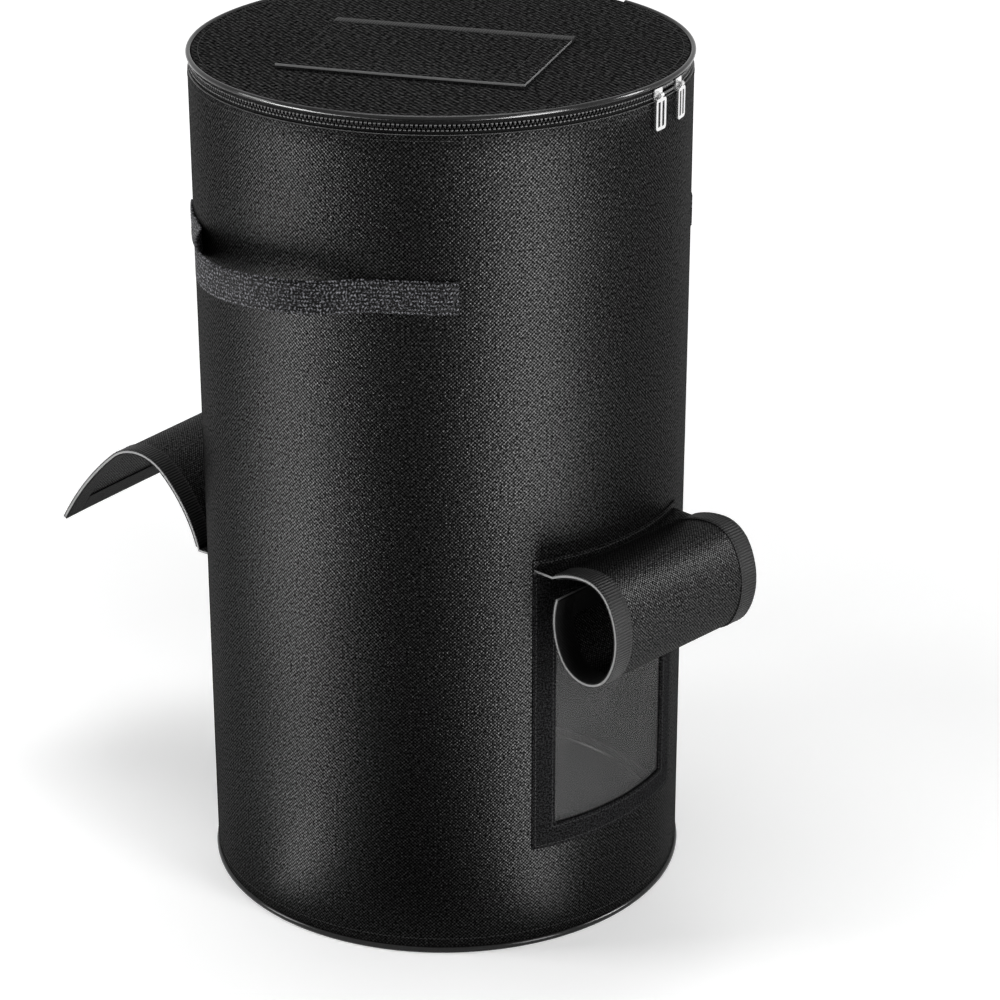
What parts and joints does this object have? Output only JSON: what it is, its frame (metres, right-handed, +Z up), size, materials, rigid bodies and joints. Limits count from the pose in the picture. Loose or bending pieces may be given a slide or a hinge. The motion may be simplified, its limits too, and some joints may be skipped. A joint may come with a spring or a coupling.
{
  "type": "fabric compost bin",
  "caption": "Tall round black fabric compost bag with a zipped lid, a clear window under a rolled door flap, a harvest hatch with a raised flap and webbing carry handles.",
  "frame": {"origin": "centre of the round floor, on the ground", "axes": "+Z up along the bag's axis, -Y towards the front, +X to the right"},
  "size_m": [0.6636, 0.6007, 0.8062],
  "materials": {
    "bag_fabric": "fine twill, satin",
    "binding_tape": "ribbed tape",
    "piping": "satin",
    "zip_tape": "woven tape",
    "zip_teeth": "moulded",
    "zip_metal": "nickel plated",
    "loop_tape": "looped pile",
    "hook_tape": "hooked",
    "webbing": "coarse woven webbing",
    "clear_film": "clear film"
  },
  "bodies": {
    "bin": {"wall_panel": "bag_fabric", "side_seam_tape": "binding_tape", "floor_panel": "bag_fabric", "floor_piping": "piping", "floor_seam_binding": "binding_tape", "zip_tape_lower": "zip_tape", "zip_teeth_lower": "zip_teeth", "zip_end_stops": "zip_metal", "lid_hinge_panel": "bag_fabric", "lid_hinge_piping": "piping", "lid_hinge_gusset": "bag_fabric", "front_loop_strips": "loop_tape", "front_flap_header": "bag_fabric", "window_pane": "clear_film", "window_binding": "binding_tape", "rear_loop_strips": "loop_tape", "rear_flap_header": "bag_fabric", "left_handle": "webbing", "right_handle": "webbing"},
    "lid": {"lid_panel": "bag_fabric", "lid_piping": "piping", "zip_tape_upper": "zip_tape", "zip_teeth_upper": "zip_teeth", "feed_loop_strips": "loop_tape", "feed_flap_header": "bag_fabric"},
    "feed_flap": {"feed_flap": "bag_fabric", "feed_hook_strips": "hook_tape"},
    "front_flap": {"front_flap": "bag_fabric", "front_flap_binding": "binding_tape", "front_hook_strips": "hook_tape"},
    "rear_flap": {"rear_flap": "bag_fabric", "rear_flap_binding": "binding_tape", "rear_hook_strips": "hook_tape"},
    "left_slider": {"left_slider": "zip_metal", "left_slider_bail": "zip_metal"},
    "left_pull_tab": {"left_pull_tab": "zip_metal"},
    "right_slider": {"right_slider": "zip_metal", "right_slider_bail": "zip_metal"},
    "right_pull_tab": {"right_pull_tab": "zip_metal"}
  },
  "joints": [
    {"name": "lid_hinge", "type": "hinge", "parent": "bin", "child": "lid", "pos_m": [0.06031, 0.1856, 0.8012], "axis": [-0.9511, 0.309, 0], "range_deg": [0, 140]},
    {"name": "feed_flap_hinge", "type": "hinge", "parent": "lid", "child": "feed_flap", "pos_m": [0.00819, 0.0252, 0.805], "axis": [-0.9511, 0.309, 0], "range_deg": [0, 120]},
    {"name": "front_flap_hinge", "type": "hinge", "parent": "bin", "child": "front_flap", "pos_m": [0.16009, -0.16291, 0.384], "axis": [-0.7133, -0.7009, 0], "range_deg": [0, 40]},
    {"name": "rear_flap_hinge", "type": "hinge", "parent": "bin", "child": "rear_flap", "pos_m": [-0.1836, 0.13586, 0.28], "axis": [0.5948, 0.8039, 0], "range_deg": [-70, 8]},
    {"name": "left_slider_travel", "type": "hinge", "parent": "bin", "child": "left_slider", "pos_m": [0, 0, 0.7918], "axis": [0, 0, 1], "range_deg": [-217, 0], "deforming": ["zip_teeth_lower", "zip_teeth_upper"]},
    {"name": "left_pull_tab_swing", "type": "hinge", "parent": "left_slider", "child": "left_pull_tab", "pos_m": [0.18677, -0.13078, 0.7918], "axis": [-0.5736, -0.8192, 0], "range_deg": [0, 130]},
    {"name": "right_slider_travel", "type": "hinge", "parent": "bin", "child": "right_slider", "pos_m": [0, 0, 0.7918], "axis": [0, 0, 1], "range_deg": [0, 61], "deforming": ["zip_teeth_lower", "zip_teeth_upper"]},
    {"name": "right_pull_tab_swing", "type": "hinge", "parent": "right_slider", "child": "right_pull_tab", "pos_m": [0.20664, -0.09636, 0.7918], "axis": [-0.4226, -0.9063, 0], "range_deg": [0, 130]}
  ]
}
